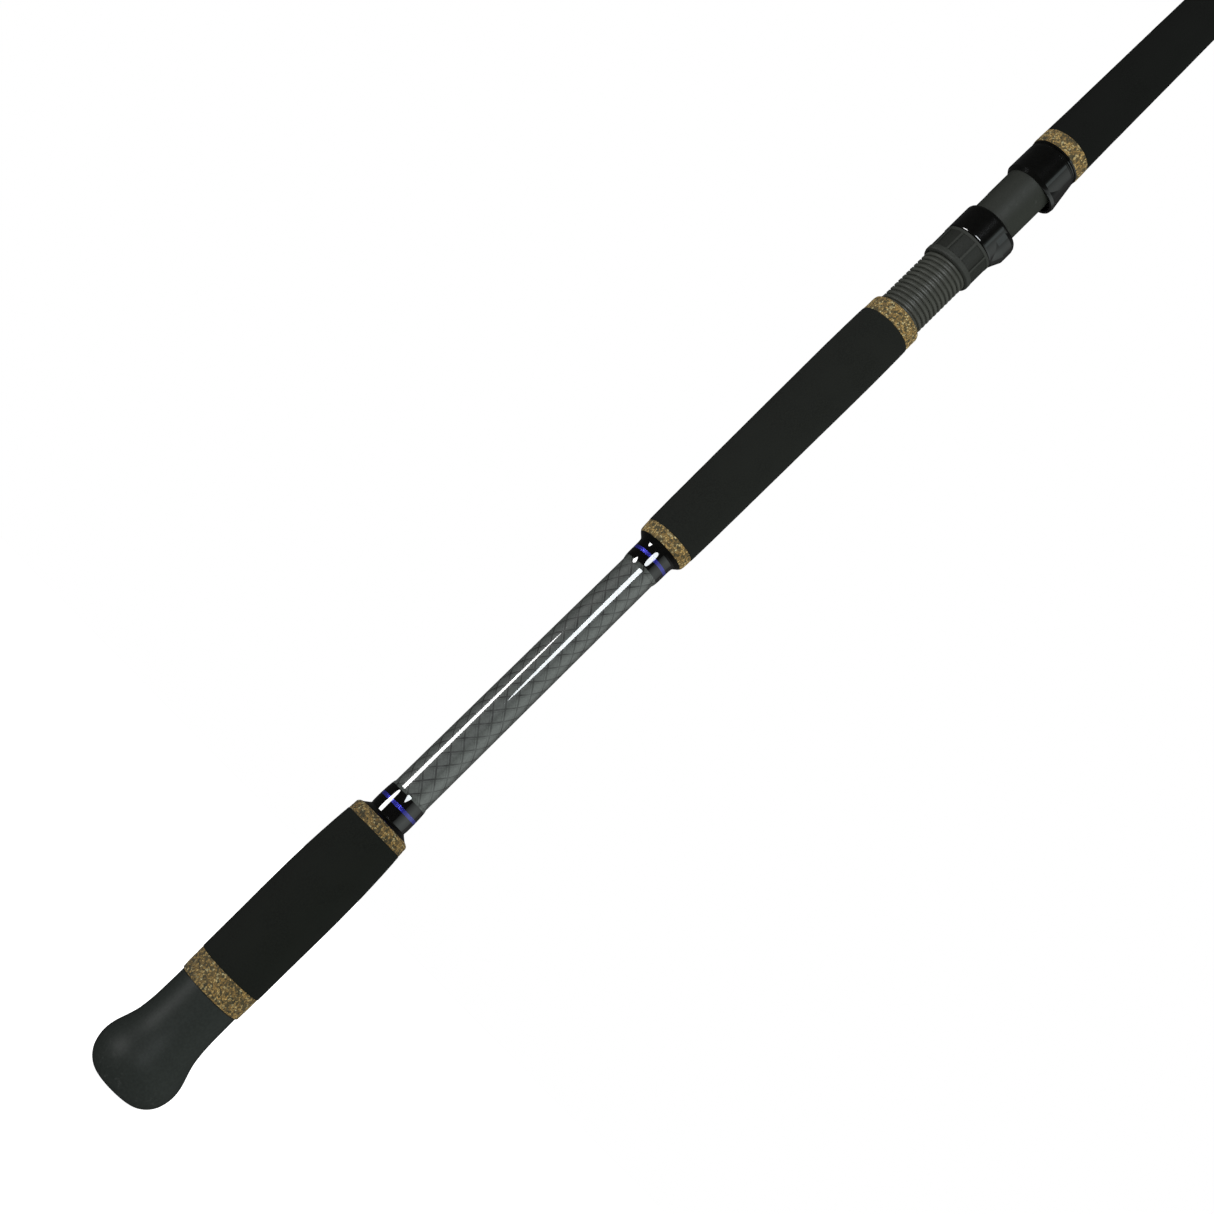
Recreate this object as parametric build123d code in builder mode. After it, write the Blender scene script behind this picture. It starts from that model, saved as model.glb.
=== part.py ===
from build123d import *
import math
import os

os.makedirs("parts", exist_ok=True)

# Spinning rod, standing on its butt: +Z runs along the rod toward the tip,
# the reel and the guides are on the -Y side. Millimetres throughout.

# Blank: breakpoints of the outer and inner radius along the rod
BLANK_OUTER = [(5.0, 10.2), (798.0, 8.05), (1398.0, 5.00), (2122.0, 1.60)]
BLANK_INNER = [(5.0, 7.90), (798.0, 6.40), (1398.0, 4.00), (2122.0, 1.00)]

# Stations along the handle
CAP_END = 56.5
BUTT_CORK_END = 68.9
BUTT_GRIP_END = 156.7
BUTT_TOP_CORK_END = 163.0
BUTT_CHECK_END = 165.4
LOWER_WRAP_END = 179.8
UPPER_WRAP_START = 327.4
UPPER_WRAP_END = 339.6
REAR_CHECK_END = 342.3
REAR_CORK_END = 349.0
REAR_GRIP_END = 497.3
SEAT_START = 506.6
NUT_START = 541.2
NUT_END = 557.8
HOOD_START = 557.9
HOOD_END = 574.4
FIXED_HOOD_START = 602.0
FIXED_HOOD_END = 622.4
FORE_CORK_END = 630.6
FORE_GRIP_END = 798.0

# Reel seat
TUBE_R = 12.0
SEAT_BORE_R = 9.9
THREAD_CREST_R = 12.4
THREAD_ROOT_R = 11.25
THREAD_PITCH = 2.8
THREAD_START = 508.2
THREAD_END = 567.5
RUNNING_CLEARANCE = 0.08
KEYWAY_WIDTH = 4.0
KEYWAY_FLOOR_R = 11.0
KEYWAY_END = 586.0
NUT_R = 13.8
NUT_PANEL_R = 13.4
NUT_RIB_COUNT = 10
NUT_RIB_WIDTH = 1.2
HOOD_R = 13.8
HOOD_ROUND = 1.2
MOUTH_CHAMFER = 1.8
BULGE_R = 11.4
POCKET_R = 9.9
LINER_T = 0.8
POCKET_MOUTH = FIXED_HOOD_START - 1.0

# Guides: station, ring bore diameter, gap between blank and ring, foot length
GUIDES = [
    (1165.0, 30.0, 7.0, 17.0),
    (1440.0, 20.0, 6.0, 15.0),
    (1645.0, 16.0, 5.0, 13.0),
    (1805.0, 12.0, 4.2, 12.0),
    (1930.0, 10.0, 3.6, 11.0),
    (2032.0, 8.0, 3.2, 10.0),
]
RING_T = 1.5
HOLDER_T = 1.3
STRUT_R = 0.8
FOOT_WIDTH = 2.6
FOOT_T = 1.2
WRAP_T = 0.45
TIP_RING_BORE = 6.0


def blank_r(z, table=BLANK_OUTER):
    """Radius of the blank at a station."""
    for (z0, r0), (z1, r1) in zip(table, table[1:]):
        if z <= z1:
            return r0 + (r1 - r0) * (z - z0) / (z1 - z0)
    return table[-1][1]


def save(builder, label):
    builder.part.label = label
    export_step(builder.part, f"parts/{label}.step")
    box = builder.part.bounding_box()
    print(f"{label:24s} {builder.part.volume:10.1f} mm3  z {box.min.Z:8.2f} {box.max.Z:8.2f}")


def turned(label, points, smooth=False):
    """Ring on the blank: outer (z, r) points from the rear to the front."""
    rz = [(r, z) for z, r in points]
    rear, front = points[0][0], points[-1][0]
    with BuildPart() as ring:
        with BuildSketch(Plane.XZ):
            with BuildLine():
                if smooth:
                    Spline(*rz)
                else:
                    Polyline(*rz)
                Line(rz[-1], (blank_r(front), front))
                Line((blank_r(front), front), (blank_r(rear), rear))
                Line((blank_r(rear), rear), rz[0])
            make_face()
        revolve(axis=Axis.Z)
    save(ring, label)


def wrap_with_band(label, band_label, points, band_from, band_to, band_depth=0.35):
    """Thread wrap with a trim band let in flush with its domed surface."""
    rz = [(r, z) for z, r in points]
    rear, front = points[0][0], points[-1][0]
    floor = max(r for r, z in rz) - band_depth
    with BuildPart() as wrap:
        with BuildSketch(Plane.XZ):
            with BuildLine():
                Spline(*rz)
                Line(rz[-1], (blank_r(front), front))
                Line((blank_r(front), front), (blank_r(rear), rear))
                Line((blank_r(rear), rear), rz[0])
            make_face()
        revolve(axis=Axis.Z)
    middle = (band_from + band_to) / 2
    with BuildPart() as band:
        add(wrap.part)
        with Locations((0, 0, middle)):
            Box(60, 60, band_to - band_from, mode=Mode.INTERSECT)
        with Locations((0, 0, middle)):
            Cylinder(floor, band_to - band_from + 1, mode=Mode.SUBTRACT)
    with BuildPart() as body:
        add(wrap.part)
        add(band.part, mode=Mode.SUBTRACT)
    save(body, label)
    save(band, band_label)


def helix_ridge(start, end, radius, section, phase):
    """Sweep a thread ridge; section is (radial, axial) points about the start."""
    with BuildPart() as ridge:
        with BuildLine() as path:
            Helix(THREAD_PITCH, end - start, radius, center=(0, 0, start))
        with BuildSketch(Plane(origin=path.line @ 0, x_dir=(1, 0, 0), z_dir=path.line % 0)):
            Polygon(*section, align=None)
        sweep(path=path.line, is_frenet=True)
    return ridge.part.rotate(Axis.Z, phase)


# Blank, a hollow tapered tube running through the whole handle
with BuildPart() as blank:
    with BuildSketch(Plane.XZ):
        with BuildLine():
            Polyline(*[(r, z) for z, r in BLANK_OUTER])
            Line((BLANK_OUTER[-1][1], BLANK_OUTER[-1][0]), (BLANK_INNER[-1][1], BLANK_INNER[-1][0]))
            Polyline(*[(r, z) for z, r in reversed(BLANK_INNER)])
            Line((BLANK_INNER[0][1], BLANK_INNER[0][0]), (BLANK_OUTER[0][1], BLANK_OUTER[0][0]))
        make_face()
    revolve(axis=Axis.Z)
save(blank, "blank")

# Rubber butt cap: flat foot, round shoulder, waisted neck
cap_profile = [
    (9.0, 0.0), (13.6, 0.9), (17.2, 3.4), (19.8, 7.0), (21.0, 10.6), (21.45, 14.2),
    (21.2, 17.6), (20.5, 20.7), (19.35, 24.1), (18.2, 27.5), (17.35, 30.8), (16.85, 34.2),
    (16.5, 37.6), (16.25, 43.0), (16.15, 50.0), (16.1, CAP_END),
]
with BuildPart() as butt_cap:
    with BuildSketch(Plane.XZ):
        with BuildLine():
            Line((0, 0), cap_profile[0])
            Spline(*cap_profile)
            Line(cap_profile[-1], (blank_r(CAP_END), CAP_END))
            Line((blank_r(CAP_END), CAP_END), (blank_r(5.0), 5.0))
            Line((blank_r(5.0), 5.0), (0, 5.0))
            Line((0, 5.0), (0, 0))
        make_face()
    revolve(axis=Axis.Z)
save(butt_cap, "butt_cap")

# Butt grip between its two composite cork rings
turned("butt_lower_cork", [
    (CAP_END, 16.45), (CAP_END + 0.5, 16.8), (60.5, 16.95), (BUTT_CORK_END, 17.05)])
turned("butt_grip", [
    (BUTT_CORK_END, 17.25), (80.0, 17.3), (95.0, 17.4), (110.0, 17.55), (122.0, 17.5),
    (135.0, 17.2), (145.0, 16.75), (BUTT_GRIP_END, 15.95)], smooth=True)
turned("butt_upper_cork", [
    (BUTT_GRIP_END, 15.8), (161.4, 15.55), (162.3, 15.0), (BUTT_TOP_CORK_END, 13.9)])
turned("butt_check", [
    (BUTT_TOP_CORK_END, 13.5), (163.5, 12.8), (164.2, 11.9), (164.8, 11.1),
    (BUTT_CHECK_END, 10.5)])
wrap_with_band("lower_wrap", "lower_trim_band", [
    (BUTT_CHECK_END, 10.35), (167.5, 10.52), (170.0, 10.55), (173.0, 10.48), (176.0, 10.33),
    (178.0, 10.17), (179.2, 9.98), (LOWER_WRAP_END, 9.78)], 171.4, 173.2)

# Rear grip between its two composite cork rings
wrap_with_band("upper_wrap", "upper_trim_band", [
    (UPPER_WRAP_START, 9.36), (328.4, 9.66), (330.0, 9.85), (332.0, 9.93), (334.0, 9.95),
    (336.0, 9.94), (337.8, 9.98), (UPPER_WRAP_END, 10.15)], 334.0, 335.8, 0.5)
turned("rear_check", [
    (UPPER_WRAP_END, 10.15), (340.5, 10.7), (341.3, 11.6), (REAR_CHECK_END, 12.7)])
turned("rear_lower_cork", [
    (REAR_CHECK_END, 12.8), (343.1, 13.3), (344.6, 13.55), (REAR_CORK_END, 13.72)])
turned("rear_grip", [
    (REAR_CORK_END, 13.85), (360.0, 14.05), (385.0, 14.3), (410.0, 14.5), (435.0, 14.68),
    (460.0, 14.85), (480.0, 14.85), (REAR_GRIP_END, 14.6)], smooth=True)
turned("rear_upper_cork", [
    (REAR_GRIP_END, 14.4), (505.2, 14.3), (506.1, 14.0), (SEAT_START, 13.6)])

# Reel seat tube with its thread and, on the far side from the reel, the keyway
ridge_section = [
    (-0.25, -0.98), (0.35, -0.98), (0.85, -0.8), (1.1, -0.5), (1.15, -0.15),
    (1.15, 0.15), (1.1, 0.5), (0.85, 0.8), (0.35, 0.98), (-0.25, 0.98)]
seat_ridge = helix_ridge(THREAD_START, THREAD_END, THREAD_ROOT_R, ridge_section, 0)
with BuildPart() as reel_seat:
    with BuildSketch(Plane.XZ):
        with BuildLine():
            Polyline(
                (SEAT_BORE_R, SEAT_START), (TUBE_R, SEAT_START), (TUBE_R, THREAD_START - 1.0),
                (THREAD_ROOT_R, THREAD_START - 0.4), (THREAD_ROOT_R, THREAD_END + 0.8),
                (TUBE_R, THREAD_END + 1.6), (TUBE_R, FIXED_HOOD_END),
                (SEAT_BORE_R, FIXED_HOOD_END), close=True)
        make_face()
    revolve(axis=Axis.Z)
    add(seat_ridge)
    with Locations((0, KEYWAY_FLOOR_R + 2.5, (SEAT_START + 2 + KEYWAY_END) / 2)):
        Box(KEYWAY_WIDTH, 5.0, KEYWAY_END - SEAT_START - 2, mode=Mode.SUBTRACT)
save(reel_seat, "reel_seat")

# Arbors that centre the seat tube on the blank
for arbor_label, arbor_from in (("seat_rear_arbor", 508.0), ("seat_fore_arbor", 590.0)):
    with BuildPart() as arbor:
        with BuildSketch(Plane.XZ):
            with BuildLine():
                Polyline(
                    (blank_r(arbor_from), arbor_from), (SEAT_BORE_R, arbor_from),
                    (SEAT_BORE_R, arbor_from + 30), (blank_r(arbor_from + 30), arbor_from + 30),
                    close=True)
            make_face()
        revolve(axis=Axis.Z)
    save(arbor, arbor_label)


def fixed_pocket(z):
    """Set-off of the fixed hood's pocket, widest at its mouth."""
    return 4.7 - 0.147 * (z - POCKET_MOUTH)


def pocket_offset(z):
    """Set-off of the sliding hood's pocket, widest at its mouth."""
    return 3.9 + 0.09 * (z - 564.5)


def bulge(z0, r0, c0, z1, r1, c1, mode=Mode.ADD):
    """Loft between two circles set off toward the reel side."""
    with BuildSketch(Plane.XY.offset(z0)) as first:
        with Locations((0, -c0)):
            Circle(r0)
    with BuildSketch(Plane.XY.offset(z1)) as last:
        with Locations((0, -c1)):
            Circle(r1)
    loft(sections=[first.sketch.face(), last.sketch.face()], ruled=True, mode=mode)


def hood_outline(z, body_r, nose_r, set_off):
    """Outline of a hood at one station: its round body and its nose, joined by tangent flanks."""
    lean = math.asin((body_r - nose_r) / set_off)
    out_x, out_y = math.cos(lean), -math.sin(lean)
    body_side = (body_r * out_x, body_r * out_y)
    nose_side = (nose_r * out_x, nose_r * out_y - set_off)
    with BuildSketch(Plane.XY.offset(z)) as outline:
        with BuildLine():
            ThreePointArc(body_side, (0, body_r), (-body_side[0], body_side[1]))
            Line((-body_side[0], body_side[1]), (-nose_side[0], nose_side[1]))
            ThreePointArc((-nose_side[0], nose_side[1]), (0, -set_off - nose_r), nose_side)
            Line(nose_side, body_side)
        make_face()
    return outline.sketch.face()


# Fixed hood in front of the seat, its mouth toward the butt
with BuildPart() as fixed_hood:
    with BuildSketch(Plane.XZ):
        with BuildLine():
            Polyline((12.6, FIXED_HOOD_START), (13.9, FIXED_HOOD_START + MOUTH_CHAMFER), (13.75, 618.8),
                     (13.3, 620.6), (13.3, 621.2), (13.85, 621.5), (13.85, FIXED_HOOD_END),
                     (TUBE_R, FIXED_HOOD_END), (TUBE_R, FIXED_HOOD_START), close=True)
        make_face()
    revolve(axis=Axis.Z)
    loft(sections=[hood_outline(FIXED_HOOD_START, 12.6, BULGE_R - 0.3, 4.7),
                   hood_outline(FIXED_HOOD_START + MOUTH_CHAMFER, 13.65, BULGE_R, 4.7)], ruled=True)
    loft(sections=[hood_outline(FIXED_HOOD_START + MOUTH_CHAMFER, 13.65, BULGE_R, 4.7),
                   hood_outline(619.5, 13.65, BULGE_R, 2.5)], ruled=True)
    with Locations((0, 0, 610)):
        Cylinder(TUBE_R, 60, mode=Mode.SUBTRACT)
    bulge(POCKET_MOUTH, POCKET_R, fixed_pocket(POCKET_MOUTH), 616.0, POCKET_R, fixed_pocket(616.0),
          mode=Mode.SUBTRACT)
with BuildPart() as fixed_hood_liner:
    bulge(605.4, POCKET_R, fixed_pocket(605.4), 614.4, POCKET_R, fixed_pocket(614.4))
    bulge(604.4, POCKET_R - LINER_T, fixed_pocket(604.4), 615.4, POCKET_R - LINER_T,
          fixed_pocket(615.4), mode=Mode.SUBTRACT)
    with Locations((0, 0, 610)):
        Cylinder(TUBE_R, 60, mode=Mode.SUBTRACT)
    with Locations((0, 20 - 8.0, 610)):
        Box(40, 40, 40, mode=Mode.SUBTRACT)
save(fixed_hood, "fixed_hood")
save(fixed_hood_liner, "fixed_hood_liner")

# Sliding hood, its mouth toward the tip, keyed against turning
HOOD_BORE_R = THREAD_CREST_R + RUNNING_CLEARANCE
with BuildPart() as sliding_hood:
    with BuildSketch(Plane.XZ):
        with BuildLine():
            Polyline((HOOD_BORE_R, HOOD_END), (HOOD_BORE_R, HOOD_START), (HOOD_R - HOOD_ROUND, HOOD_START))
            RadiusArc((HOOD_R - HOOD_ROUND, HOOD_START), (HOOD_R, HOOD_START + HOOD_ROUND), -HOOD_ROUND)
            Line((HOOD_R, HOOD_START + HOOD_ROUND), (HOOD_R, HOOD_END - 2.2))
            Spline((HOOD_R, HOOD_END - 2.2), (13.65, HOOD_END - 1.1), (13.2, HOOD_END - 0.3),
                   (12.7, HOOD_END))
            Line((12.7, HOOD_END), (HOOD_BORE_R, HOOD_END))
        make_face()
    revolve(axis=Axis.Z)
    nose_start = hood_outline(HOOD_START + HOOD_ROUND, 13.7, BULGE_R, 2.6)
    nose_full = hood_outline(565.4, 13.7, BULGE_R, 5.3)
    nose_rounds = hood_outline(HOOD_END - 2.6, 13.7, BULGE_R, 5.3)
    nose_bevel = hood_outline(HOOD_END - 1.0, 13.3, BULGE_R - 0.4, 5.3)
    nose_mouth = hood_outline(HOOD_END, 12.65, BULGE_R - 1.05, 5.3)
    loft(sections=[nose_start, nose_full], ruled=True)
    loft(sections=[nose_full, nose_rounds], ruled=True)
    loft(sections=[nose_rounds, nose_bevel], ruled=True)
    loft(sections=[nose_bevel, nose_mouth], ruled=True)
    with Locations((0, 0, 570)):
        Cylinder(HOOD_BORE_R, 60, mode=Mode.SUBTRACT)
    bulge(564.5, POCKET_R, pocket_offset(564.5), 577.0, POCKET_R, pocket_offset(577.0), mode=Mode.SUBTRACT)
    with Locations((0, (KEYWAY_FLOOR_R + 0.1 + 12.8) / 2, 567.0)):
        Box(KEYWAY_WIDTH - 0.2, 12.8 - KEYWAY_FLOOR_R - 0.1, 14.0)
with BuildPart() as sliding_hood_liner:
    bulge(566.5, POCKET_R, pocket_offset(566.5), 573.4, POCKET_R, pocket_offset(573.4))
    bulge(565.5, POCKET_R - LINER_T, pocket_offset(565.5), 574.4, POCKET_R - LINER_T,
          pocket_offset(574.4), mode=Mode.SUBTRACT)
    with Locations((0, 0, 570)):
        Cylinder(HOOD_BORE_R, 60, mode=Mode.SUBTRACT)
    with Locations((0, 20 - 8.0, 570)):
        Box(40, 40, 40, mode=Mode.SUBTRACT)
save(sliding_hood, "sliding_hood")
save(sliding_hood_liner, "sliding_hood_liner")

# Lock nut: plain collars, a ribbed waist, and a thread that meshes with the seat's
nut_section = [(0.3, -0.5), (-0.3, -0.38), (-1.0, -0.26), (-1.0, 0.26), (-0.3, 0.38), (0.3, 0.5)]
nut_offset = THREAD_PITCH * (round((NUT_START + 2 - THREAD_START) / THREAD_PITCH) + 0.5)
nut_ridge = helix_ridge(THREAD_START + nut_offset, NUT_END - 1.6, HOOD_BORE_R, nut_section, 0)
PANEL_START = NUT_START + 3.9
PANEL_END = NUT_END - 1.8
with BuildPart() as lock_nut:
    with BuildSketch(Plane.XZ):
        with BuildLine():
            Polyline((HOOD_BORE_R, NUT_START), (12.95, NUT_START), (13.5, NUT_START + 0.6),
                     (NUT_R, NUT_START + 1.5), (NUT_R, NUT_START + 3.5), (NUT_PANEL_R, PANEL_START),
                     (NUT_PANEL_R, PANEL_END), (NUT_R, NUT_END - 1.4), (NUT_R, NUT_END),
                     (HOOD_BORE_R, NUT_END), close=True)
        make_face()
    revolve(axis=Axis.Z)
    with PolarLocations((NUT_R - 0.05 + 12.6) / 2, NUT_RIB_COUNT, start_angle=6.5):
        with Locations((0, 0, (PANEL_START + PANEL_END) / 2)):
            Box(NUT_R - 0.05 - 12.6, NUT_RIB_WIDTH, PANEL_END - PANEL_START + 1.0)
    add(nut_ridge)
save(lock_nut, "lock_nut")

# Fore grip, its cork ring, winding check and trimmed front wrap
turned("fore_grip", [
    (FORE_CORK_END, 13.85), (652.0, 13.5), (676.0, 13.22), (698.0, 12.98), (720.0, 12.7),
    (742.0, 12.36), (768.0, 11.85), (788.0, 11.2), (FORE_GRIP_END, 10.2)], smooth=True)
with BuildPart() as fore_cork:
    with BuildSketch(Plane.XZ):
        with BuildLine():
            Polyline(
                (blank_r(FIXED_HOOD_END), FIXED_HOOD_END), (13.9, FIXED_HOOD_END),
                (14.1, 622.9), (13.95, FORE_CORK_END), (blank_r(FORE_CORK_END), FORE_CORK_END),
                close=True)
        make_face()
    revolve(axis=Axis.Z)
save(fore_cork, "fore_cork")
turned("fore_check", [
    (FORE_GRIP_END, 10.1), (FORE_GRIP_END + 0.8, 10.1), (FORE_GRIP_END + 3.0, 8.9)])
wrap_with_band("fore_wrap", "fore_trim_band", [
    (801.0, 8.6), (803.0, 8.75), (808.0, 8.8), (813.0, 8.7), (817.0, 8.2)], 807.0, 809.0, 0.3)


def strut(start, end, radius):
    """Round bar between two points."""
    direction = Vector(*end) - Vector(*start)
    with BuildSketch(Plane(origin=start, z_dir=direction)) as section:
        Circle(radius)
    extrude(section.sketch, amount=direction.length)


def clear_blank(z0, z1):
    """Remove the room the blank takes between two stations."""
    with Locations((0, 0, (z0 + z1) / 2)):
        Cone(blank_r(z0), blank_r(z1), z1 - z0, mode=Mode.SUBTRACT)


def foot_pad(z_root, z_toe):
    """Tapered foot lying along the blank on the guide side."""
    r_root, r_toe = blank_r(z_root), blank_r(z_toe)
    with BuildSketch(Plane.YZ) as side_view:
        Polygon((-r_root + 0.6, z_root), (-r_root - FOOT_T, z_root),
                (-r_toe - 0.35, z_toe), (-r_toe + 0.6, z_toe), align=None)
    extrude(side_view.sketch, amount=FOOT_WIDTH / 2, both=True)


def foot_wrap(label, z0, z1, frame):
    """Thread wrap over a guide foot, swollen on the foot's side."""
    low, high = min(z0, z1), max(z0, z1)
    r_low, r_high = blank_r(low), blank_r(high)
    with BuildPart() as wrap:
        with BuildSketch(Plane.XZ):
            with BuildLine():
                Spline((r_low + 0.12, low), (r_low + WRAP_T * 0.9, low + 1.2),
                       ((r_low + r_high) / 2 + WRAP_T, (low + high) / 2),
                       (r_high + WRAP_T * 0.9, high - 1.2), (r_high + 0.12, high))
                Polyline((r_high + 0.12, high), (r_high, high), (r_low, low), (r_low + 0.12, low))
            make_face()
        revolve(axis=Axis.Z)
        root, toe = z0, z0 + (z1 - z0) * 0.82
        with BuildSketch(Plane.XY.offset(root)):
            with Locations((0, -blank_r(root) - 0.2)):
                Ellipse(FOOT_WIDTH / 2 + 0.75, FOOT_T + 0.55)
        with BuildSketch(Plane.XY.offset(toe)):
            with Locations((0, -blank_r(toe) + 0.1)):
                Ellipse(FOOT_WIDTH / 2 + 0.2, 0.55)
        loft(ruled=True)
        clear_blank(low - 2, high + 2)
        add(frame.part, mode=Mode.SUBTRACT)
    save(wrap, label)


def ceramic_ring(label, bore, centre_y, z, thickness=RING_T, width=2.2):
    """Rounded ceramic ring lining a guide frame."""
    outer = bore / 2 + thickness
    with BuildPart() as ring:
        with BuildSketch(Plane.XZ):
            with Locations((bore / 2 + thickness / 2, 0)):
                RectangleRounded(thickness, width, 0.36 * thickness)
        revolve(axis=Axis.Z)
    ring.part = ring.part.moved(Location((0, centre_y, z)))
    save(ring, label)
    return outer


for number, (station, bore, gap, foot) in enumerate(GUIDES, start=1):
    ring_outer = bore / 2 + RING_T
    centre = -(blank_r(station) + gap + ring_outer + HOLDER_T)
    height = -centre
    rear_root = station - 0.42 * height
    front_root = station + 0.34 * height
    rear_toe, front_toe = rear_root - foot, front_root + foot * 0.85
    ceramic_ring(f"guide_{number}_ring", bore, centre, station)
    mid_r = ring_outer + HOLDER_T / 2
    side = math.radians(50)
    with BuildPart() as frame:
        foot_pad(rear_root, rear_toe)
        foot_pad(front_root, front_toe)
        for sign in (-1, 1):
            top = (sign * mid_r * math.cos(side), centre + mid_r * math.sin(side), station)
            strut((sign * 0.7, -blank_r(rear_root) - 0.55, rear_root - 0.8), top, STRUT_R)
        strut((0, -blank_r(front_root) - 0.55, front_root + 0.8), (0, centre + mid_r, station), STRUT_R)
        with Locations((0, centre, station)):
            Cylinder(ring_outer + 0.3, 4.5, mode=Mode.SUBTRACT)
        with BuildSketch(Plane.XY.offset(station - 0.6)):
            with Locations((0, centre)):
                Circle(ring_outer + HOLDER_T)
                Circle(ring_outer, mode=Mode.SUBTRACT)
        extrude(amount=1.2)
        clear_blank(rear_toe - 2, front_toe + 2)
    save(frame, f"guide_{number}_frame")
    foot_wrap(f"guide_{number}_rear_wrap", rear_root - 1.6, rear_toe - 2.6, frame)
    foot_wrap(f"guide_{number}_front_wrap", front_root + 1.6, front_toe + 2.6, frame)

# Tip top: tube over the blank's end, ring and two stays
tip_z = 2129.0
tip_outer = TIP_RING_BORE / 2 + 1.1
tip_y = -(1.9 + tip_outer + 0.2)
ceramic_ring("tip_top_ring", TIP_RING_BORE, tip_y, tip_z, 1.1, 1.8)
with BuildPart() as tip_top:
    with BuildSketch(Plane.XZ):
        with BuildLine():
            Polyline((blank_r(2104), 2104), (2.15, 2104), (1.95, 2126), (0, 2126), (0, 2122),
                     (blank_r(2122), 2122), (blank_r(2104), 2104))
        make_face()
    revolve(axis=Axis.Z)
    with Locations((0, tip_y, tip_z)):
        Cylinder(tip_outer + 0.9, 1.0)
    strut((0, -0.8, 2123.0), (0, -1.6, tip_z - 0.1), 0.7)
    for sign in (-1, 1):
        strut((sign * 0.9, -1.4, 2108), (sign * (tip_outer + 0.3), tip_y + 0.6, tip_z), 0.6)
    with Locations((0, tip_y, tip_z)):
        Cylinder(tip_outer, 3, mode=Mode.SUBTRACT)
    clear_blank(2100, 2122)
save(tip_top, "tip_top")
turned("tip_wrap", [
    (2095.0, blank_r(2095.0) + 0.1), (2096.0, 2.05), (2103.0, 2.0), (2103.9, 1.95)])

# Hook keeper: a small wire loop in front of the fore grip, tied down at both ends
keeper_low, keeper_high = 824.0, 850.0
keeper_r = 0.7
rise = 4.2
low_y = -blank_r(keeper_low) - keeper_r
high_y = -blank_r(keeper_high) - keeper_r
with BuildPart() as hook_keeper:
    with BuildLine() as keeper_path:
        Polyline((0, low_y, keeper_low), (0, low_y + 0.01, keeper_low + 6),
                 (0, low_y - rise, keeper_low + 9.5), (0, high_y - rise, keeper_high - 9.5),
                 (0, high_y - 0.01, keeper_high - 6), (0, high_y, keeper_high))
        fillet(keeper_path.vertices().sort_by(Axis.Z)[1:-1], 1.6)
    with BuildSketch(Plane(origin=keeper_path.line @ 0, z_dir=keeper_path.line % 0)):
        Circle(keeper_r)
    sweep()
    clear_blank(keeper_low - 2, keeper_high + 2)
save(hook_keeper, "hook_keeper")
for keeper_label, root_z, toe_z in (
        ("hook_keeper_rear_wrap", keeper_low + 5.0, keeper_low - 3.0),
        ("hook_keeper_front_wrap", keeper_high - 5.0, keeper_high + 3.0)):
    low, high = min(root_z, toe_z), max(root_z, toe_z)
    with BuildPart() as keeper_wrap:
        with BuildSketch(Plane.XZ):
            with BuildLine():
                Polyline((blank_r(low), low), (blank_r(low) + 0.2, low), (blank_r(low) + 0.45, low + 0.8),
                         (blank_r(high) + 0.45, high - 0.8), (blank_r(high) + 0.2, high),
                         (blank_r(high), high), close=True)
            make_face()
        revolve(axis=Axis.Z)
        with BuildSketch(Plane.XY.offset(low + 0.4)):
            with Locations((0, -blank_r(low + 0.4) - keeper_r)):
                Circle(keeper_r + 0.5)
        extrude(amount=high - low - 0.8)
        clear_blank(low - 2, high + 2)
        add(hook_keeper.part, mode=Mode.SUBTRACT)
    save(keeper_wrap, keeper_label)
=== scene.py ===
import math

import bpy
from mathutils import Matrix, Vector, noise
from mathutils.bvhtree import BVHTree


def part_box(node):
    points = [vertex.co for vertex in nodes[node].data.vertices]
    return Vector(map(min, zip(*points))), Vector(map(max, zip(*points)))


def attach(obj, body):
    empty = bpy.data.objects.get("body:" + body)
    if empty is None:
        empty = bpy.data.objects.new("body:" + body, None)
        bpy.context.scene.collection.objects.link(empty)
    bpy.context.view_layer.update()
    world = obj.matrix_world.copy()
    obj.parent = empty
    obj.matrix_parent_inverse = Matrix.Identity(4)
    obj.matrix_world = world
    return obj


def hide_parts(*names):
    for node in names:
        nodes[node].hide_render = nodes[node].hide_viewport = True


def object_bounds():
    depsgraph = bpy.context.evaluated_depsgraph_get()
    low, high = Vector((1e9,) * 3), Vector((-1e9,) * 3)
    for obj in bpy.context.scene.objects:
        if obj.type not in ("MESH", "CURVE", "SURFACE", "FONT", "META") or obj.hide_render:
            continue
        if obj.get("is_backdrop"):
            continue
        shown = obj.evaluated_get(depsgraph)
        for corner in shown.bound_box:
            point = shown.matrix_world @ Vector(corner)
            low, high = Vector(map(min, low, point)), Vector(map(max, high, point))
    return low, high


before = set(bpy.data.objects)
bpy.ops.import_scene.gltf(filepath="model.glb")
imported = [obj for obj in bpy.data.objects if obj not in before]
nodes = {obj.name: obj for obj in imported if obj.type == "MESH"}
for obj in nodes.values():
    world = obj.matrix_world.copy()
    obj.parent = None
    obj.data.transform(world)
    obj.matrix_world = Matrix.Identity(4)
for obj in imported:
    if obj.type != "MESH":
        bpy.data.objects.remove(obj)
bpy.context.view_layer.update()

MM = 0.001

# ---------------------------------------------------------------- camera
VIEW_CENTRE_Z = 0.3053      # station on the rod's axis at the middle of the picture
VIEW_DISTANCE = 0.884
VIEW_ASIDE = 0.0015
ROD_RECEDES = math.radians(10.2)
ROD_ROLL = math.radians(44.55)
LENS_MM = 56.34

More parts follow.
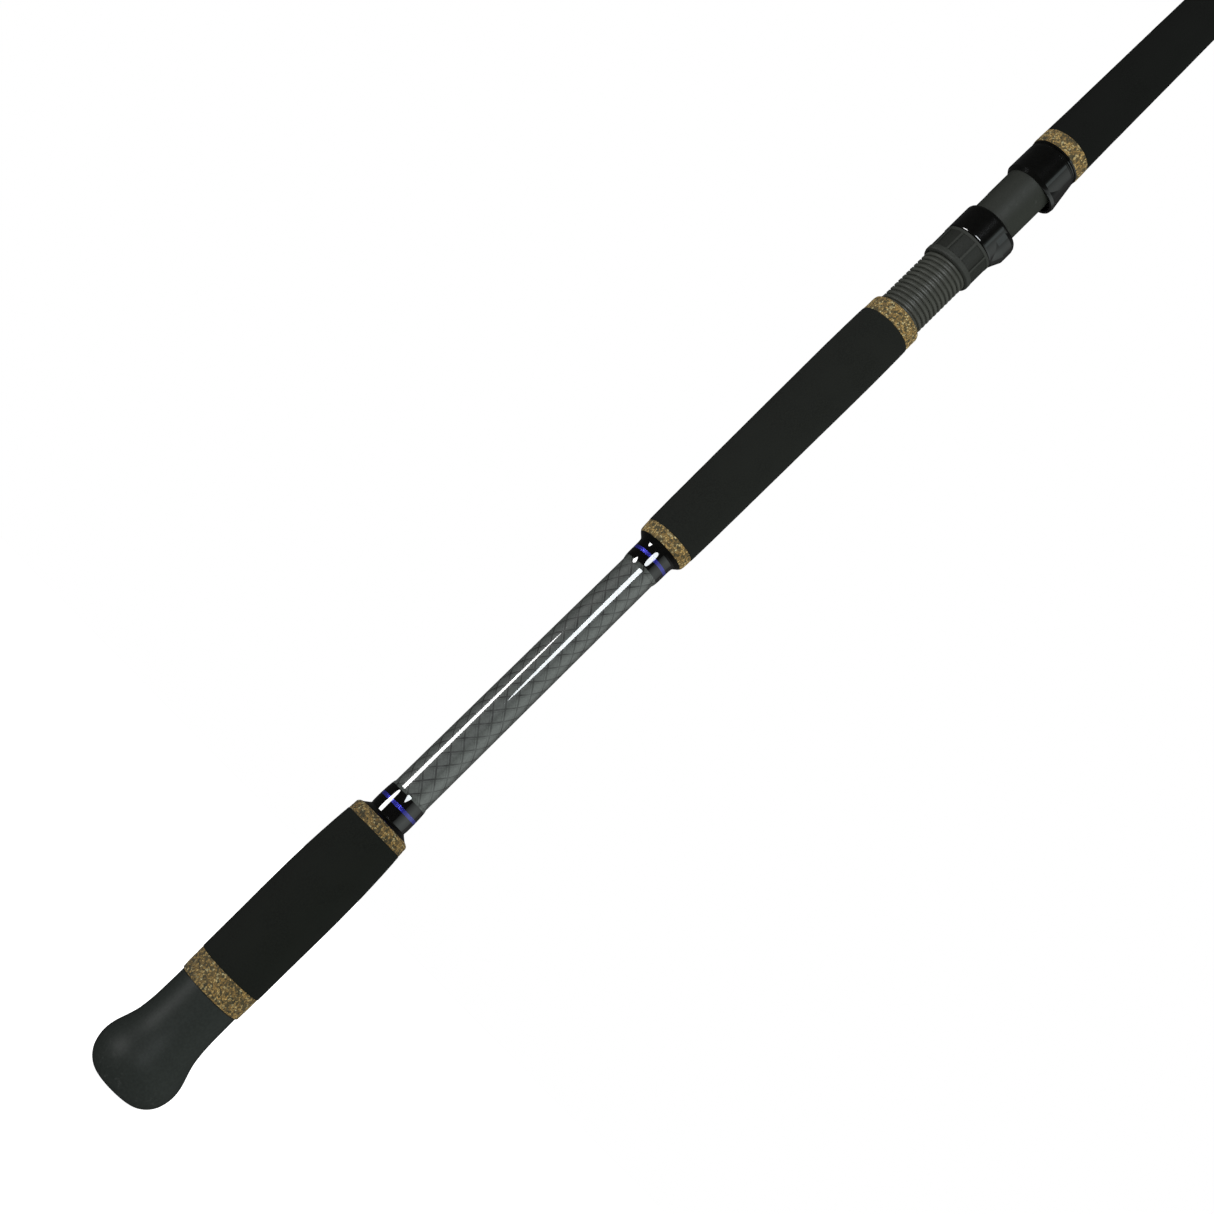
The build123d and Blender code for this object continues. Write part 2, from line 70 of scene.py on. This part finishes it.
sight = Vector((math.cos(ROD_RECEDES), 0, math.sin(ROD_RECEDES)))
along = (Vector((0, 0, 1)) - sight * sight.z).normalized()
across = Vector((0, -1, 0))
right = math.cos(ROD_ROLL) * along + math.sin(ROD_ROLL) * across
up = math.sin(ROD_ROLL) * along - math.cos(ROD_ROLL) * across
cam_data = bpy.data.cameras.new("camera")
cam_data.lens = LENS_MM
cam_data.sensor_width = 36
camera = bpy.data.objects.new("camera", cam_data)
bpy.context.scene.collection.objects.link(camera)
camera_at = Vector((0, 0, VIEW_CENTRE_Z)) - sight * VIEW_DISTANCE + across * VIEW_ASIDE
camera.matrix_world = Matrix.Translation(camera_at) @ Matrix((right, up, -sight)).transposed().to_4x4()
bpy.context.scene.camera = camera
bpy.context.scene.view_settings.view_transform = "Standard"

# ---------------------------------------------------------------- studio
AMBIENT_REEL_SIDE = 0.76    # soft light that matte surfaces get from the reel side
AMBIENT_FAR_SIDE = 0.50     # and from the side away from the reel
GREY_SIDE = 0.26            # what gloss mirrors, apart from the softboxes, on the reel side
DARK_SIDE = 0.05            # and everywhere else
GREY_FULL_Y = -0.95         # direction, along Y, in which the grey is full
GREY_GONE_Y = -0.45         # and in which it has faded out
SOFTBOX_DISTANCE = 1.6
FLOOR_REACH = 6.0
FLOOR_DROP = 0.2 * MM


def fade(tree, value, **numbers):
    """Map Range node from value, with its sockets named by underscores for spaces."""
    made = tree.nodes.new("ShaderNodeMapRange")
    tree.links.new(value, made.inputs["Value"])
    for socket, number in numbers.items():
        made.inputs[socket.replace("_", " ")].default_value = number
    return made


def studio_world():
    """White backdrop for the camera, soft light for matte surfaces and a dim room for gloss."""
    world = bpy.data.worlds.new("studio")
    world.use_nodes = True
    world.cycles.sampling_method = "NONE"
    bpy.context.scene.world = world
    tree = world.node_tree
    tree.nodes.clear()
    add = tree.nodes.new
    link = tree.links.new
    out = add("ShaderNodeOutputWorld")
    path = add("ShaderNodeLightPath")
    place = add("ShaderNodeTexCoord")
    split = add("ShaderNodeSeparateXYZ")
    link(place.outputs["Generated"], split.inputs[0])
    towards_y = split.outputs["Y"]
    room = fade(tree, towards_y, From_Min=GREY_FULL_Y, From_Max=GREY_GONE_Y,
                To_Min=GREY_SIDE, To_Max=DARK_SIDE)
    room.interpolation_type = "SMOOTHSTEP"
    soft = fade(tree, towards_y, From_Min=-1, From_Max=1, To_Min=AMBIENT_REEL_SIDE, To_Max=AMBIENT_FAR_SIDE)
    matte = add("ShaderNodeMix")
    link(path.outputs["Is Diffuse Ray"], matte.inputs[0])
    link(room.outputs["Result"], matte.inputs[2])
    link(soft.outputs["Result"], matte.inputs[3])
    seen = add("ShaderNodeMix")
    link(path.outputs["Is Camera Ray"], seen.inputs[0])
    link(matte.outputs[0], seen.inputs[2])
    seen.inputs[3].default_value = 1.0
    backdrop = add("ShaderNodeBackground")
    backdrop.inputs["Color"].default_value = (1, 1, 1, 1)
    link(seen.outputs[0], backdrop.inputs["Strength"])
    link(backdrop.outputs[0], out.inputs["Surface"])


def softbox(name, azimuth, height, width, tall, radiance, colour=(1, 1, 1), shape="ELLIPSE", spread=180):
    """Softbox round the rod that only gloss sees; azimuth in degrees from the camera's side towards +Y."""
    data = bpy.data.lights.new(name, "AREA")
    data.shape = shape
    data.size = width
    data.size_y = tall
    area = width * tall * (math.pi / 4 if shape == "ELLIPSE" else 1)
    data.energy = radiance * area * math.pi
    data.color = colour
    data.spread = math.radians(spread)
    turn = math.radians(azimuth)
    box = bpy.data.objects.new(name, data)
    facing = Vector((math.cos(turn), -math.sin(turn), 0))
    upright = Vector((0, 0, 1))
    place = Matrix.Translation(upright * height - facing * SOFTBOX_DISTANCE)
    box.matrix_world = place @ Matrix((upright.cross(facing), upright, -facing)).transposed().to_4x4()
    box.visible_diffuse = False
    bpy.context.scene.collection.objects.link(box)


def pale_floor():
    """Plain white floor under the butt; it takes no shadow, like the white sheet it stands for."""
    mesh = bpy.data.meshes.new("floor")
    corners = ((-1, -1), (1, -1), (1, 1), (-1, 1))
    points = [(x * FLOOR_REACH, y * FLOOR_REACH, -FLOOR_DROP) for x, y in corners]
    mesh.from_pydata(points, [], [(0, 1, 2, 3)])
    floor = bpy.data.objects.new("floor", mesh)
    bpy.context.scene.collection.objects.link(floor)
    paint = bpy.data.materials.new("pale_floor")
    paint.use_nodes = True
    body = paint.node_tree.nodes["Principled BSDF"]
    body.inputs["Base Color"].default_value = (0.9, 0.9, 0.9, 1)
    body.inputs["Roughness"].default_value = 0.9
    body.inputs["Emission Color"].default_value = (1, 1, 1, 1)
    body.inputs["Emission Strength"].default_value = 1.0
    mesh.materials.append(paint)
    floor.visible_diffuse = False
    floor.visible_glossy = False
    floor.visible_shadow = False
    floor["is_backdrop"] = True


studio_world()
pale_floor()
softbox("key_low", azimuth=61, height=0.10, width=0.66, tall=0.86, radiance=27)
softbox("key_camera_side", azimuth=-2, height=0.80, width=0.80, tall=0.76, radiance=22,
        colour=(0.92, 0.97, 1.0))
softbox("fill_wall", azimuth=-74, height=1.0, width=2.8, tall=3.0, radiance=0.30, colour=(0.90, 1.0, 0.96),
        shape="RECTANGLE", spread=95)
softbox("fill_high", azimuth=-47, height=1.45, width=0.34, tall=0.9, radiance=0.6, colour=(0.84, 1.0, 1.0))


# ---------------------------------------------------------------- shader helper
class Paint:
    """A Principled material, with short calls for the nodes that feed it."""

    def __init__(self, name):
        self.material = bpy.data.materials.new(name)
        self.material.use_nodes = True
        self.tree = self.material.node_tree
        self.body = self.tree.nodes["Principled BSDF"]
        place = self.tree.nodes.new("ShaderNodeTexCoord")
        self.at = place.outputs["Object"]
        split = self.add("ShaderNodeSeparateXYZ")
        self.feed(split.inputs[0], self.at)
        self.x, self.y, self.z = split.outputs

    def add(self, kind, **settings):
        made = self.tree.nodes.new(kind)
        for key, value in settings.items():
            setattr(made, key, value)
        return made

    def feed(self, socket, value):
        if isinstance(value, bpy.types.NodeSocket):
            self.tree.links.new(value, socket)
        elif isinstance(value, tuple):
            socket.default_value = (*value, 1) if len(value) == 3 and socket.type == "RGBA" else value
        else:
            socket.default_value = value

    def set(self, **values):
        """Principled sockets, named with underscores for spaces."""
        for key, value in values.items():
            self.feed(self.body.inputs[key.replace("_", " ")], value)

    def math(self, operation, *values):
        made = self.add("ShaderNodeMath", operation=operation)
        for socket, value in zip(made.inputs, values):
            self.feed(socket, value)
        return made.outputs[0]

    def step(self, value, low, high, out_low=0.0, out_high=1.0):
        """Smooth change of value from low to high into out_low to out_high."""
        made = self.add("ShaderNodeMapRange", interpolation_type="SMOOTHSTEP")
        for socket, number in zip(made.inputs, (value, low, high, out_low, out_high)):
            self.feed(socket, number)
        return made.outputs["Result"]

    def mix(self, share, first, second):
        made = self.add("ShaderNodeMix", data_type="RGBA")
        self.feed(made.inputs[0], share)
        self.feed(made.inputs[6], first)
        self.feed(made.inputs[7], second)
        return made.outputs[2]

    def noise(self, size_mm, detail=2.0, rough=0.5):
        made = self.add("ShaderNodeTexNoise")
        self.feed(made.inputs["Vector"], self.at)
        self.feed(made.inputs["Scale"], 1 / (size_mm * MM))
        self.feed(made.inputs["Detail"], detail)
        self.feed(made.inputs["Roughness"], rough)
        return made.outputs[0]

    def cells(self, size_mm, feature="F1", at=None):
        made = self.add("ShaderNodeTexVoronoi", feature=feature)
        self.feed(made.inputs["Vector"], at or self.at)
        self.feed(made.inputs["Scale"], 1 / (size_mm * MM))
        return made

    def around(self):
        """Turns round the rod's axis, -0.5 to 0.5."""
        return self.math("DIVIDE", self.math("ARCTAN2", self.y, self.x), 2 * math.pi)

    def bump(self, height, depth_mm, strength=1.0, under=None):
        made = self.add("ShaderNodeBump")
        self.feed(made.inputs["Strength"], strength)
        self.feed(made.inputs["Distance"], depth_mm * MM)
        self.feed(made.inputs["Height"], height)
        if under:
            self.feed(made.inputs["Normal"], under)
        return made.outputs[0]


def shade(colour, factor):
    return tuple(channel * factor for channel in colour)


# ---------------------------------------------------------------- materials
CARBON = (0.107, 0.120, 0.111)
CARBON_LINE = (0.020, 0.021, 0.019)
DIAMONDS_AROUND = 8
DIAMOND_LONG = 8.95         # mm along the rod
DIAMOND_TURN = 0.16         # how far round the net starts, in diamonds
TAPE_HALF = 0.092           # half width of a crossing tape, in diamonds
THIN_TAPE_HALF = 0.042
THIN_TAPE_DARKNESS = 0.55
THIN_TAPE_SHIFTS = {1: 0.21, -1: -0.16}     # from the tape beside it, for each winding direction
WANDER = 0.045
THREAD_PITCH = 0.22         # mm, of the wraps
TRIM_PITCH = 0.3
SEAT_THREAD_END = 568 * MM  # station where the reel seat's thread gives way to plain tube
NUT_GROOVES = 150
CORK_GRAIN = 0.95           # mm
CORK_STOPS = ((0.0, (0.05, 0.050, 0.028)), (0.22, (0.10, 0.09, 0.045)), (0.40, (0.34, 0.215, 0.068)),
              (0.64, (0.62, 0.385, 0.110)), (0.84, (0.98, 0.66, 0.22)), (1.0, (1.0, 0.88, 0.46)))


def carbon_colour(paint):
    """Grey carbon blank under crossing bands of darker tape, some of them doubled."""
    around = paint.math("MULTIPLY_ADD", paint.around(), DIAMONDS_AROUND, DIAMOND_TURN)
    along_rod = paint.math("DIVIDE", paint.z, DIAMOND_LONG * MM)
    wander = paint.step(paint.noise(30), 0.3, 0.7, -WANDER, WANDER)
    darkness = None
    for direction, thin_shift in THIN_TAPE_SHIFTS.items():
        turn = paint.math("MULTIPLY_ADD", along_rod, direction, around)
        turn = paint.math("ADD", turn, wander)
        tapes = ((0.0, TAPE_HALF, 1.0), (thin_shift, THIN_TAPE_HALF, THIN_TAPE_DARKNESS))
        for shift, half, strength in tapes:
            off = paint.math("PINGPONG", paint.math("ADD", turn, shift), 0.5)
            band = paint.step(off, half * 0.5, half * 0.9, strength, 0.0)
            darkness = band if darkness is None else paint.math("MAXIMUM", darkness, band)
    patchy = paint.step(paint.noise(4.5, 3), 0.35, 0.68, 0.58, 1.0)
    darkness = paint.math("MULTIPLY", darkness, patchy)
    fibre = paint.step(paint.noise(1.1, 4, 0.6), 0.35, 0.65)
    weave = paint.mix(fibre, shade(CARBON, 0.88), shade(CARBON, 1.14))
    return paint.mix(darkness, weave, CARBON_LINE)


def clear_coat(paint, rough=0.025, ripple_mm=0.006):
    """Brushed-on clear gloss, with the faint waves that it cures with."""
    paint.set(Coat_Weight=1.0, Coat_Roughness=rough, Coat_IOR=1.52)
    if ripple_mm:
        paint.set(Coat_Normal=paint.bump(paint.noise(6.0, 1), ripple_mm))


def blank_paint():
    """Bare carbon blank under its clear coat."""
    paint = Paint("carbon_blank")
    paint.set(Base_Color=carbon_colour(paint), Roughness=0.48, Specular_IOR_Level=0.15)
    paint.set(Normal=paint.bump(paint.noise(0.5, 3), 0.012))
    clear_coat(paint, ripple_mm=0)
    return paint.material


def thread_height(paint, pitch_mm):
    """Wound thread, one ridge a turn, from -1 to 1."""
    phase = paint.math("MULTIPLY", paint.z, 2 * math.pi / (pitch_mm * MM))
    return paint.math("SINE", phase)


def wrap_paint(name, black_low, black_high):
    """Black thread between two stations in metres, and bare blank under clear epoxy outside them."""
    paint = Paint(name)
    edge = 0.08 * MM
    inside = paint.math("MULTIPLY", paint.step(paint.z, black_low - edge, black_low + edge),
                        paint.step(paint.z, black_high - edge, black_high + edge, 1.0, 0.0))
    ridge = thread_height(paint, THREAD_PITCH)
    thread = paint.mix(paint.step(ridge, -1.0, 1.0), (0.0018, 0.0018, 0.0016), (0.0044, 0.0043, 0.0038))
    paint.set(Base_Color=paint.mix(inside, carbon_colour(paint), thread))
    paint.set(Roughness=0.6, Specular_IOR_Level=0.0)
    paint.set(Normal=paint.bump(paint.math("MULTIPLY", ridge, inside), 0.02))
    clear_coat(paint)
    return paint.material


def gloss_black_paint():
    """Black lacquer of the hoods, and the black epoxy cones at the grips' ends."""
    paint = Paint("gloss_black")
    mottled = paint.step(paint.noise(2.5, 3), 0.3, 0.7)
    paint.set(Base_Color=paint.mix(mottled, (0.0020, 0.0021, 0.0017), (0.0036, 0.0038, 0.0031)))
    paint.set(Roughness=0.6, Specular_IOR_Level=0.0)
    clear_coat(paint, rough=0.10)
    return paint.material


def trim_paint():
    """Metallic blue thread under epoxy."""
    paint = Paint("metallic_trim")
    ridge = thread_height(paint, TRIM_PITCH)
    glitter = paint.step(paint.cells(0.3).outputs["Distance"], 0.1, 0.6)
    blue = paint.mix(glitter, (0.010, 0.011, 0.20), (0.022, 0.024, 0.46))
    paint.set(Base_Color=blue, Metallic=0.55, Roughness=paint.step(ridge, -1, 1, 0.42, 0.30))
    paint.set(Normal=paint.bump(ridge, 0.03))
    clear_coat(paint)
    return paint.material


def foam_paint(name, tint):
    """Closed-cell grip foam, sanded matte."""
    paint = Paint(name)
    cell = paint.cells(0.32).outputs["Distance"]
    mottled = paint.step(paint.noise(0.8, 4, 0.65), 0.32, 0.68)
    tone = paint.mix(mottled, shade(tint, 0.80), shade(tint, 1.22))
    broad = paint.step(paint.noise(18, 2), 0.3, 0.7)
    tone = paint.mix(broad, tone, shade(tint, 1.12))
    tone = paint.mix(paint.step(cell, 0.08, 0.3, 0.5, 0.0), tone, shade(tint, 0.55))
    paint.set(Base_Color=tone, Roughness=0.92, Specular_IOR_Level=0.06)
    fine = paint.bump(cell, 0.05, 0.6)
    paint.set(Normal=paint.bump(paint.noise(0.9, 4), 0.05, 0.7, fine))
    return paint.material


def cork_paint(name, light):
    """Pressed cork granules: pale, gold, brown and nearly black grains in a dark binder."""
    paint = Paint(name)
    bend = paint.add("ShaderNodeTexNoise")
    paint.feed(bend.inputs["Vector"], paint.at)
    paint.feed(bend.inputs["Scale"], 1 / (1.4 * MM))
    offset = paint.add("ShaderNodeVectorMath", operation="MULTIPLY_ADD")
    paint.feed(offset.inputs[0], bend.outputs["Color"])
    offset.inputs[1].default_value = (0.7 * MM,) * 3
    paint.feed(offset.inputs[2], paint.at)
    grain = paint.cells(CORK_GRAIN, at=offset.outputs[0])
    pick = paint.add("ShaderNodeSeparateColor")
    paint.feed(pick.inputs[0], grain.outputs["Color"])
    ramp = paint.add("ShaderNodeValToRGB")
    ramp.color_ramp.interpolation = "EASE"
    while len(ramp.color_ramp.elements) < len(CORK_STOPS):
        ramp.color_ramp.elements.new(0.5)
    for element, (place, colour) in zip(ramp.color_ramp.elements, CORK_STOPS):
        element.position = place
        element.color = (*shade(colour, light), 1)
    paint.feed(ramp.inputs[0], pick.outputs[0])
    seam = paint.cells(CORK_GRAIN, "DISTANCE_TO_EDGE", offset.outputs[0]).outputs["Distance"]
    speck = paint.step(paint.noise(0.45, 3, 0.6), 0.36, 0.6)
    tone = paint.mix(speck, shade((0.17, 0.13, 0.055), light), ramp.outputs["Color"])
    tone = paint.mix(paint.step(seam, 0.02, 0.13, 0.6, 0.0), tone, shade((0.085, 0.070, 0.034), light))
    paint.set(Base_Color=tone, Roughness=0.85, Specular_IOR_Level=0.15)
    rough = paint.bump(paint.step(seam, 0.0, 0.2), 0.12, 0.8)
    paint.set(Normal=paint.bump(paint.noise(0.5, 4), 0.08, 0.6, rough))
    return paint.material


def rubber_paint():
    """Moulded rubber, slightly shiny, with pale rub marks near the ground and painted shade in the joint at
    the top.
    """
    paint = Paint("cap_rubber")
    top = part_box("butt_cap")[1].z
    mottled = paint.step(paint.noise(1.2, 4), 0.3, 0.7)
    tone = paint.mix(mottled, (0.0270, 0.0325, 0.0290), (0.0330, 0.0395, 0.0355))
    low_down = paint.step(paint.z, 6 * MM, 22 * MM, 1.0, 0.0)
    scuff = paint.math("MULTIPLY", paint.step(paint.noise(3.5, 6, 0.7), 0.56, 0.72), low_down)
    tone = paint.mix(paint.math("MULTIPLY", scuff, 0.30), tone, (0.12, 0.125, 0.12))
    # painted shade: a dark line just under the cap's top stands in for the shadow in the gap beneath the
    # cork
    joint_painted_shade = paint.step(paint.z, top - 0.5 * MM, top - 0.15 * MM, 0.0, 0.8)
    tone = paint.mix(joint_painted_shade, tone, (0.004, 0.004, 0.004))
    paint.set(Base_Color=tone, Roughness=paint.step(scuff, 0, 1, 0.5, 0.75), Specular_IOR_Level=0.055)
    paint.set(Normal=paint.bump(paint.noise(0.5, 3), 0.02, 0.7))
    return paint.material


def seat_paint():
    """Moulded graphite-filled nylon of the reel seat, shinier along the thread, where painted light also
    makes it paler.
    """
    paint = Paint("seat_graphite")
    mottled = paint.step(paint.noise(0.35, 3, 0.7), 0.3, 0.7)
    tone = paint.mix(mottled, (0.027, 0.031, 0.024), (0.038, 0.043, 0.034))
    threaded_and_painted_light = paint.step(paint.z, SEAT_THREAD_END - MM, SEAT_THREAD_END + MM, 1.0, 0.0)
    # painted light: the threaded stretch is painted paler, standing in for the light its crests catch
    tone = paint.mix(threaded_and_painted_light, tone, (0.080, 0.085, 0.071))
    worn = paint.step(paint.noise(5, 5, 0.65), 0.6, 0.75, 0.0, 0.35)
    tone = paint.mix(worn, tone, (0.10, 0.105, 0.095))
    rough = paint.step(paint.noise(1.6, 2), 0.3, 0.7, 0.52, 0.60)
    paint.set(Base_Color=tone, Roughness=paint.math("MULTIPLY_ADD", threaded_and_painted_light, -0.14, rough))
    paint.set(Specular_IOR_Level=0.15)
    paint.set(Normal=paint.bump(paint.noise(0.30, 3), 0.018, 0.8))
    return paint.material


def nut_paint():
    """The same nylon, finely grooved lengthways between the grip ribs."""
    paint = Paint("nut_graphite")
    groove = paint.math("SINE", paint.math("MULTIPLY", paint.around(), 2 * math.pi * NUT_GROOVES))
    tone = paint.mix(paint.step(groove, -1, 1), (0.018, 0.020, 0.016), (0.046, 0.050, 0.043))
    outward = paint.math("SQRT", paint.math("ADD", paint.math("MULTIPLY", paint.x, paint.x),
                                            paint.math("MULTIPLY", paint.y, paint.y)))
    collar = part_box("lock_nut")[1].x
    rib = paint.step(outward, collar - 0.3 * MM, collar - 0.05 * MM)
    tone = paint.mix(paint.math("MULTIPLY", rib, 0.6), tone, (0.072, 0.078, 0.068))
    paint.set(Base_Color=tone, Roughness=0.46, Specular_IOR_Level=0.08)
    paint.set(Normal=paint.bump(groove, 0.05, 0.8))
    return paint.material


def plain_dark_paint(name, low, high, metallic, rough, specular, grain_mm):
    """Fine-grained dark finish for the liners, arbors and metalwork."""
    paint = Paint(name)
    tone = paint.mix(paint.step(paint.noise(grain_mm, 4, 0.6), 0.3, 0.7), low, high)
    patches = paint.step(paint.noise(grain_mm * 9, 3), 0.3, 0.7)
    paint.set(Base_Color=tone, Metallic=metallic, Specular_IOR_Level=specular)
    paint.set(Roughness=paint.math("MULTIPLY_ADD", patches, 0.12, rough))
    paint.set(Normal=paint.bump(paint.noise(grain_mm, 3), grain_mm * 0.03, 0.6))
    return paint.material


def ring_paint():
    """Polished dark ceramic of the guide rings."""
    paint = Paint("guide_ring")
    mottled = paint.step(paint.noise(0.8, 3), 0.3, 0.7)
    tone = paint.mix(mottled, (0.030, 0.031, 0.033), (0.045, 0.046, 0.050))
    paint.set(Base_Color=tone, Roughness=0.12, Specular_IOR_Level=0.6)
    paint.set(Normal=paint.bump(paint.noise(1.5, 1), 0.003))
    return paint.material


# ---------------------------------------------------------------- turned pieces with real surface relief
EDGE_ROUND = 0.22 * MM
OUTLINE_INSET = 0.02 * MM   # keeps the rays off the node's end faces


def read_outline(node, spacing):
    """Stations and outer radii of a turned CAD node, read from its own mesh."""
    mesh = nodes[node].data
    tree = BVHTree.FromPolygons([v.co for v in mesh.vertices], [p.vertices[:] for p in mesh.polygons])
    low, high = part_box(node)
    count = max(4, round((high.z - low.z) / spacing))
    outline = []
    for i in range(count + 1):
        z = low.z + OUTLINE_INSET + (high.z - low.z - 2 * OUTLINE_INSET) * i / count
        hit = tree.ray_cast(Vector((0.1, 0, z)), Vector((-1, 0, 0)))[0]
        outline.append((z, hit.x))
    return outline


def bore_at(node, z):
    """Smallest radius among the node's vertices at one of its ends."""
    near = [v.co for v in nodes[node].data.vertices if abs(v.co.z - z) < 0.05 * MM]
    return min(math.hypot(co.x, co.y) for co in near)


def turned_piece(name, node, spacing, around, relief, paint):
    """A closed turned piece over a CAD node's outline, with relief(point) added to its outer surface."""
    outline = read_outline(node, spacing)
    low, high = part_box(node)
    (z0, r0), (z1, r1) = outline[0], outline[-1]
    rings = [(low.z, r0 - EDGE_ROUND, False), (z0 + 0.4 * EDGE_ROUND, r0 - 0.25 * EDGE_ROUND, False)]
    rings += [(z, r, True) for z, r in outline[1:-1]]
    rings += [(z1 - 0.4 * EDGE_ROUND, r1 - 0.25 * EDGE_ROUND, False), (high.z, r1 - EDGE_ROUND, False)]
    bores = [(high.z, bore_at(node, high.z), False), (low.z, bore_at(node, low.z), False)]
    rings += bores
    points = []
    for z, radius, rough in rings:
        for j in range(around):
            turn = 2 * math.pi * j / around
            direction = Vector((math.cos(turn), math.sin(turn), 0))
            point = direction * radius + Vector((0, 0, z))
            if rough:
                point += direction * relief(point)
            points.append(point)
    faces = []
    for i in range(len(rings)):
        a, b = i * around, (i + 1) % len(rings) * around
        faces += [(a + j, a + (j + 1) % around, b + (j + 1) % around, b + j) for j in range(around)]
    mesh = bpy.data.meshes.new(name)
    mesh.from_pydata(points, [], faces)
    mesh.materials.append(paint)
    outer_faces = (len(rings) - len(bores) - 1) * around
    for polygon in mesh.polygons:
        polygon.use_smooth = polygon.index < outer_faces
    piece = bpy.data.objects.new(name, mesh)
    bpy.context.scene.collection.objects.link(piece)
    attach(piece, "rod")
    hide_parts(node)
    return piece


def foam_relief(point):
    """Sanded foam: shallow dimples and a slow waviness."""
    fine = noise.noise(point / (1.7 * MM))
    slow = noise.noise(point / (9 * MM))
    return (0.030 * fine + 0.035 * slow) * MM


def cork_relief(point):
    """Cork ring: granules standing at slightly different heights, and a few pits."""
    granule = noise.voronoi(point / (1.25 * MM))[1][0]
    height = 0.05 * (noise.cell(granule * 3.1) - 0.5)
    pit = noise.noise(point / (1.1 * MM) + Vector((7, 3, 5)))
    return (height + 0.03 * noise.noise(point / (0.8 * MM)) - 0.35 * max(0.0, pit - 0.42)) * MM


FOAM_TINTS = {"butt_grip": (0.01163, 0.01376, 0.01088), "rear_grip": (0.01721, 0.01934, 0.01628),
              "fore_grip": (0.00818, 0.00939, 0.00781)}
FOAM_SPACING = 0.8 * MM
FOAM_AROUND = 150
CORK_LIGHT = {"butt_lower_cork": 0.80, "butt_upper_cork": 0.70, "rear_lower_cork": 1.0,
              "rear_upper_cork": 1.05, "fore_cork": 1.0}
CORK_SPACING = 0.42 * MM
CORK_AROUND = 240
for node, tint in FOAM_TINTS.items():
    foam = foam_paint(f"{node}_foam", tint)
    grip = turned_piece(f"{node}_foam", node, FOAM_SPACING, FOAM_AROUND, foam_relief, foam)
for node, light in CORK_LIGHT.items():
    cork = cork_paint(f"{node}_granules", light)
    turned_piece(f"{node}_ring", node, CORK_SPACING, CORK_AROUND, cork_relief, cork)

# ---------------------------------------------------------------- finishes of the CAD nodes
gloss_black = gloss_black_paint()
trim = trim_paint()
gunmetal = plain_dark_paint("guide_metal", (0.055, 0.056, 0.060), (0.085, 0.086, 0.092),
                            metallic=0.9, rough=0.28, specular=0.5, grain_mm=0.25)
check_metal = plain_dark_paint("check_metal", (0.10, 0.10, 0.105), (0.15, 0.15, 0.155),
                               metallic=1.0, rough=0.25, specular=0.5, grain_mm=0.3)
liner = plain_dark_paint("hood_liner", (0.012, 0.012, 0.011), (0.020, 0.020, 0.018),
                         metallic=0.0, rough=0.75, specular=0.2, grain_mm=0.5)
arbor = plain_dark_paint("arbor_foam", (0.34, 0.29, 0.20), (0.46, 0.40, 0.29),
                         metallic=0.0, rough=0.8, specular=0.2, grain_mm=0.8)
ceramic = ring_paint()
finishes = {
    "blank": blank_paint(), "butt_cap": rubber_paint(), "reel_seat": seat_paint(), "lock_nut": nut_paint(),
    "butt_check": gloss_black, "rear_check": gloss_black,
    "fixed_hood": gloss_black, "sliding_hood": gloss_black,
    "fore_check": check_metal, "hook_keeper": gunmetal, "tip_top": gunmetal,
}
by_ending = {"liner": liner, "arbor": arbor, "band": trim, "ring": ceramic, "frame": gunmetal}
CLEAR_MARGIN = 1.2 * MM     # clear epoxy past the black thread, on the guide and keeper wraps
# Stations between which the thread is black; None runs past the node's end, under the epoxy cone
BLACK_ENDS = {"lower_wrap": (None, 0.1784), "upper_wrap": (0.3293, None)}
for name in nodes:
    ending = name.split("_")[-1]
    if name in finishes or name in FOAM_TINTS or name in CORK_LIGHT:
        continue
    low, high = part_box(name)
    if ending in by_ending:
        finishes[name] = by_ending[ending]
    elif ending == "wrap":
        start, end = BLACK_ENDS.get(name, (low.z + CLEAR_MARGIN, high.z - CLEAR_MARGIN))
        finishes[name] = wrap_paint(f"{name}_thread", start or low.z - MM, end or high.z + MM)
for name, finish in finishes.items():
    data = nodes[name].data
    data.materials.clear()
    data.materials.append(finish)

low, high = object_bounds()
